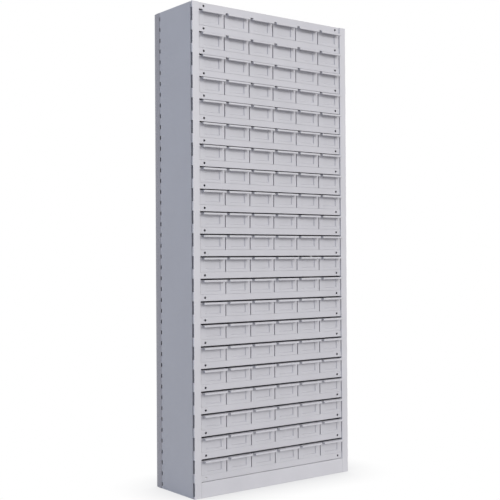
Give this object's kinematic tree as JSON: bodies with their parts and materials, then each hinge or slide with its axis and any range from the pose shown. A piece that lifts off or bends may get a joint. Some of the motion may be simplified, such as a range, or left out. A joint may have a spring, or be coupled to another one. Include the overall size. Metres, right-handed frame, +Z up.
{
  "type": "parts bin shelving unit",
  "caption": "Tall closed steel shelving unit filled with rows of small pull-out parts bins, each with a label recess and a full-width pull.",
  "frame": {"origin": "on the floor, under the middle of the unit's outer box", "axes": "+Z up, +X to the right seen from the front, bins pull out along -Y"},
  "size_m": [0.916, 0.344, 2.2],
  "materials": {
    "carcass_paint": "light grey powder coat, satin",
    "shelf_paint": "light grey powder coat, satin",
    "bin_paint": "light grey powder coat, satin",
    "zinc_plate": "dull zinc plate"
  },
  "bodies": {
    "carcass": {"front_left_post": "carcass_paint", "front_right_post": "carcass_paint", "rear_left_post": "carcass_paint", "rear_right_post": "carcass_paint", "left_side_panel": "carcass_paint", "right_side_panel": "carcass_paint", "back_panel": "carcass_paint", "top_shelf": "shelf_paint", "middle_shelves": "shelf_paint", "bottom_shelf": "shelf_paint", "kick_plate": "carcass_paint", "foot_plates": "zinc_plate"},
    "bins_row_01": {"bins_row_01": "bin_paint"},
    "bins_row_02": {"bins_row_02": "bin_paint"},
    "bins_row_03": {"bins_row_03": "bin_paint"},
    "bins_row_04": {"bins_row_04": "bin_paint"},
    "bins_row_05": {"bins_row_05": "bin_paint"},
    "bins_row_06": {"bins_row_06": "bin_paint"},
    "bins_row_07": {"bins_row_07": "bin_paint"},
    "bins_row_08": {"bins_row_08": "bin_paint"},
    "bin_row_09_column_1": {"bin_row_09_column_1": "bin_paint"},
    "bin_row_09_column_2": {"bin_row_09_column_2": "bin_paint"},
    "bin_row_09_column_3": {"bin_row_09_column_3": "bin_paint"},
    "bin_row_09_column_4": {"bin_row_09_column_4": "bin_paint"},
    "bin_row_09_column_5": {"bin_row_09_column_5": "bin_paint"},
    "bin_row_09_column_6": {"bin_row_09_column_6": "bin_paint"},
    "bin_row_10_column_1": {"bin_row_10_column_1": "bin_paint"},
    "bin_row_10_column_2": {"bin_row_10_column_2": "bin_paint"},
    "bin_row_10_column_3": {"bin_row_10_column_3": "bin_paint"},
    "bin_row_10_column_4": {"bin_row_10_column_4": "bin_paint"},
    "bin_row_10_column_5": {"bin_row_10_column_5": "bin_paint"},
    "bin_row_10_column_6": {"bin_row_10_column_6": "bin_paint"},
    "bin_row_11_column_1": {"bin_row_11_column_1": "bin_paint"},
    "bin_row_11_column_2": {"bin_row_11_column_2": "bin_paint"},
    "bin_row_11_column_3": {"bin_row_11_column_3": "bin_paint"},
    "bin_row_11_column_4": {"bin_row_11_column_4": "bin_paint"},
    "bin_row_11_column_5": {"bin_row_11_column_5": "bin_paint"},
    "bin_row_11_column_6": {"bin_row_11_column_6": "bin_paint"},
    "bin_row_12_column_1": {"bin_row_12_column_1": "bin_paint"},
    "bin_row_12_column_2": {"bin_row_12_column_2": "bin_paint"},
    "bin_row_12_column_3": {"bin_row_12_column_3": "bin_paint"},
    "bin_row_12_column_4": {"bin_row_12_column_4": "bin_paint"},
    "bin_row_12_column_5": {"bin_row_12_column_5": "bin_paint"},
    "bin_row_12_column_6": {"bin_row_12_column_6": "bin_paint"},
    "bin_row_13_column_1": {"bin_row_13_column_1": "bin_paint"},
    "bin_row_13_column_2": {"bin_row_13_column_2": "bin_paint"},
    "bin_row_13_column_3": {"bin_row_13_column_3": "bin_paint"},
    "bin_row_13_column_4": {"bin_row_13_column_4": "bin_paint"},
    "bin_row_13_column_5": {"bin_row_13_column_5": "bin_paint"},
    "bin_row_13_column_6": {"bin_row_13_column_6": "bin_paint"},
    "bins_row_14": {"bins_row_14": "bin_paint"},
    "bins_row_15": {"bins_row_15": "bin_paint"},
    "bins_row_16": {"bins_row_16": "bin_paint"},
    "bins_row_17": {"bins_row_17": "bin_paint"},
    "bins_row_18": {"bins_row_18": "bin_paint"},
    "bins_row_19": {"bins_row_19": "bin_paint"},
    "bins_row_20": {"bins_row_20": "bin_paint"},
    "bins_row_21": {"bins_row_21": "bin_paint"}
  },
  "joints": [
    {"name": "bins_row_01_slide", "type": "slide", "parent": "carcass", "child": "bins_row_01", "axis": [0, -1, 0], "range_m": [0, 0.25]},
    {"name": "bins_row_02_slide", "type": "slide", "parent": "carcass", "child": "bins_row_02", "axis": [0, -1, 0], "range_m": [0, 0.25]},
    {"name": "bins_row_03_slide", "type": "slide", "parent": "carcass", "child": "bins_row_03", "axis": [0, -1, 0], "range_m": [0, 0.25]},
    {"name": "bins_row_04_slide", "type": "slide", "parent": "carcass", "child": "bins_row_04", "axis": [0, -1, 0], "range_m": [0, 0.25]},
    {"name": "bins_row_05_slide", "type": "slide", "parent": "carcass", "child": "bins_row_05", "axis": [0, -1, 0], "range_m": [0, 0.25]},
    {"name": "bins_row_06_slide", "type": "slide", "parent": "carcass", "child": "bins_row_06", "axis": [0, -1, 0], "range_m": [0, 0.25]},
    {"name": "bins_row_07_slide", "type": "slide", "parent": "carcass", "child": "bins_row_07", "axis": [0, -1, 0], "range_m": [0, 0.25]},
    {"name": "bins_row_08_slide", "type": "slide", "parent": "carcass", "child": "bins_row_08", "axis": [0, -1, 0], "range_m": [0, 0.25]},
    {"name": "bin_row_09_column_1_slide", "type": "slide", "parent": "carcass", "child": "bin_row_09_column_1", "axis": [0, -1, 0], "range_m": [0, 0.25]},
    {"name": "bin_row_09_column_2_slide", "type": "slide", "parent": "carcass", "child": "bin_row_09_column_2", "axis": [0, -1, 0], "range_m": [0, 0.25]},
    {"name": "bin_row_09_column_3_slide", "type": "slide", "parent": "carcass", "child": "bin_row_09_column_3", "axis": [0, -1, 0], "range_m": [0, 0.25]},
    {"name": "bin_row_09_column_4_slide", "type": "slide", "parent": "carcass", "child": "bin_row_09_column_4", "axis": [0, -1, 0], "range_m": [0, 0.25]},
    {"name": "bin_row_09_column_5_slide", "type": "slide", "parent": "carcass", "child": "bin_row_09_column_5", "axis": [0, -1, 0], "range_m": [0, 0.25]},
    {"name": "bin_row_09_column_6_slide", "type": "slide", "parent": "carcass", "child": "bin_row_09_column_6", "axis": [0, -1, 0], "range_m": [0, 0.25]},
    {"name": "bin_row_10_column_1_slide", "type": "slide", "parent": "carcass", "child": "bin_row_10_column_1", "axis": [0, -1, 0], "range_m": [0, 0.25]},
    {"name": "bin_row_10_column_2_slide", "type": "slide", "parent": "carcass", "child": "bin_row_10_column_2", "axis": [0, -1, 0], "range_m": [0, 0.25]},
    {"name": "bin_row_10_column_3_slide", "type": "slide", "parent": "carcass", "child": "bin_row_10_column_3", "axis": [0, -1, 0], "range_m": [0, 0.25]},
    {"name": "bin_row_10_column_4_slide", "type": "slide", "parent": "carcass", "child": "bin_row_10_column_4", "axis": [0, -1, 0], "range_m": [0, 0.25]},
    {"name": "bin_row_10_column_5_slide", "type": "slide", "parent": "carcass", "child": "bin_row_10_column_5", "axis": [0, -1, 0], "range_m": [0, 0.25]},
    {"name": "bin_row_10_column_6_slide", "type": "slide", "parent": "carcass", "child": "bin_row_10_column_6", "axis": [0, -1, 0], "range_m": [0, 0.25]},
    {"name": "bin_row_11_column_1_slide", "type": "slide", "parent": "carcass", "child": "bin_row_11_column_1", "axis": [0, -1, 0], "range_m": [0, 0.25]},
    {"name": "bin_row_11_column_2_slide", "type": "slide", "parent": "carcass", "child": "bin_row_11_column_2", "axis": [0, -1, 0], "range_m": [0, 0.25]},
    {"name": "bin_row_11_column_3_slide", "type": "slide", "parent": "carcass", "child": "bin_row_11_column_3", "axis": [0, -1, 0], "range_m": [0, 0.25]},
    {"name": "bin_row_11_column_4_slide", "type": "slide", "parent": "carcass", "child": "bin_row_11_column_4", "axis": [0, -1, 0], "range_m": [0, 0.25]},
    {"name": "bin_row_11_column_5_slide", "type": "slide", "parent": "carcass", "child": "bin_row_11_column_5", "axis": [0, -1, 0], "range_m": [0, 0.25]},
    {"name": "bin_row_11_column_6_slide", "type": "slide", "parent": "carcass", "child": "bin_row_11_column_6", "axis": [0, -1, 0], "range_m": [0, 0.25]},
    {"name": "bin_row_12_column_1_slide", "type": "slide", "parent": "carcass", "child": "bin_row_12_column_1", "axis": [0, -1, 0], "range_m": [0, 0.25]},
    {"name": "bin_row_12_column_2_slide", "type": "slide", "parent": "carcass", "child": "bin_row_12_column_2", "axis": [0, -1, 0], "range_m": [0, 0.25]},
    {"name": "bin_row_12_column_3_slide", "type": "slide", "parent": "carcass", "child": "bin_row_12_column_3", "axis": [0, -1, 0], "range_m": [0, 0.25]},
    {"name": "bin_row_12_column_4_slide", "type": "slide", "parent": "carcass", "child": "bin_row_12_column_4", "axis": [0, -1, 0], "range_m": [0, 0.25]},
    {"name": "bin_row_12_column_5_slide", "type": "slide", "parent": "carcass", "child": "bin_row_12_column_5", "axis": [0, -1, 0], "range_m": [0, 0.25]},
    {"name": "bin_row_12_column_6_slide", "type": "slide", "parent": "carcass", "child": "bin_row_12_column_6", "axis": [0, -1, 0], "range_m": [0, 0.25]},
    {"name": "bin_row_13_column_1_slide", "type": "slide", "parent": "carcass", "child": "bin_row_13_column_1", "axis": [0, -1, 0], "range_m": [0, 0.25]},
    {"name": "bin_row_13_column_2_slide", "type": "slide", "parent": "carcass", "child": "bin_row_13_column_2", "axis": [0, -1, 0], "range_m": [0, 0.25]},
    {"name": "bin_row_13_column_3_slide", "type": "slide", "parent": "carcass", "child": "bin_row_13_column_3", "axis": [0, -1, 0], "range_m": [0, 0.25]},
    {"name": "bin_row_13_column_4_slide", "type": "slide", "parent": "carcass", "child": "bin_row_13_column_4", "axis": [0, -1, 0], "range_m": [0, 0.25]},
    {"name": "bin_row_13_column_5_slide", "type": "slide", "parent": "carcass", "child": "bin_row_13_column_5", "axis": [0, -1, 0], "range_m": [0, 0.25]},
    {"name": "bin_row_13_column_6_slide", "type": "slide", "parent": "carcass", "child": "bin_row_13_column_6", "axis": [0, -1, 0], "range_m": [0, 0.25]},
    {"name": "bins_row_14_slide", "type": "slide", "parent": "carcass", "child": "bins_row_14", "axis": [0, -1, 0], "range_m": [0, 0.25]},
    {"name": "bins_row_15_slide", "type": "slide", "parent": "carcass", "child": "bins_row_15", "axis": [0, -1, 0], "range_m": [0, 0.25]},
    {"name": "bins_row_16_slide", "type": "slide", "parent": "carcass", "child": "bins_row_16", "axis": [0, -1, 0], "range_m": [0, 0.25]},
    {"name": "bins_row_17_slide", "type": "slide", "parent": "carcass", "child": "bins_row_17", "axis": [0, -1, 0], "range_m": [0, 0.25]},
    {"name": "bins_row_18_slide", "type": "slide", "parent": "carcass", "child": "bins_row_18", "axis": [0, -1, 0], "range_m": [0, 0.25]},
    {"name": "bins_row_19_slide", "type": "slide", "parent": "carcass", "child": "bins_row_19", "axis": [0, -1, 0], "range_m": [0, 0.25]},
    {"name": "bins_row_20_slide", "type": "slide", "parent": "carcass", "child": "bins_row_20", "axis": [0, -1, 0], "range_m": [0, 0.25]},
    {"name": "bins_row_21_slide", "type": "slide", "parent": "carcass", "child": "bins_row_21", "axis": [0, -1, 0], "range_m": [0, 0.25]}
  ]
}
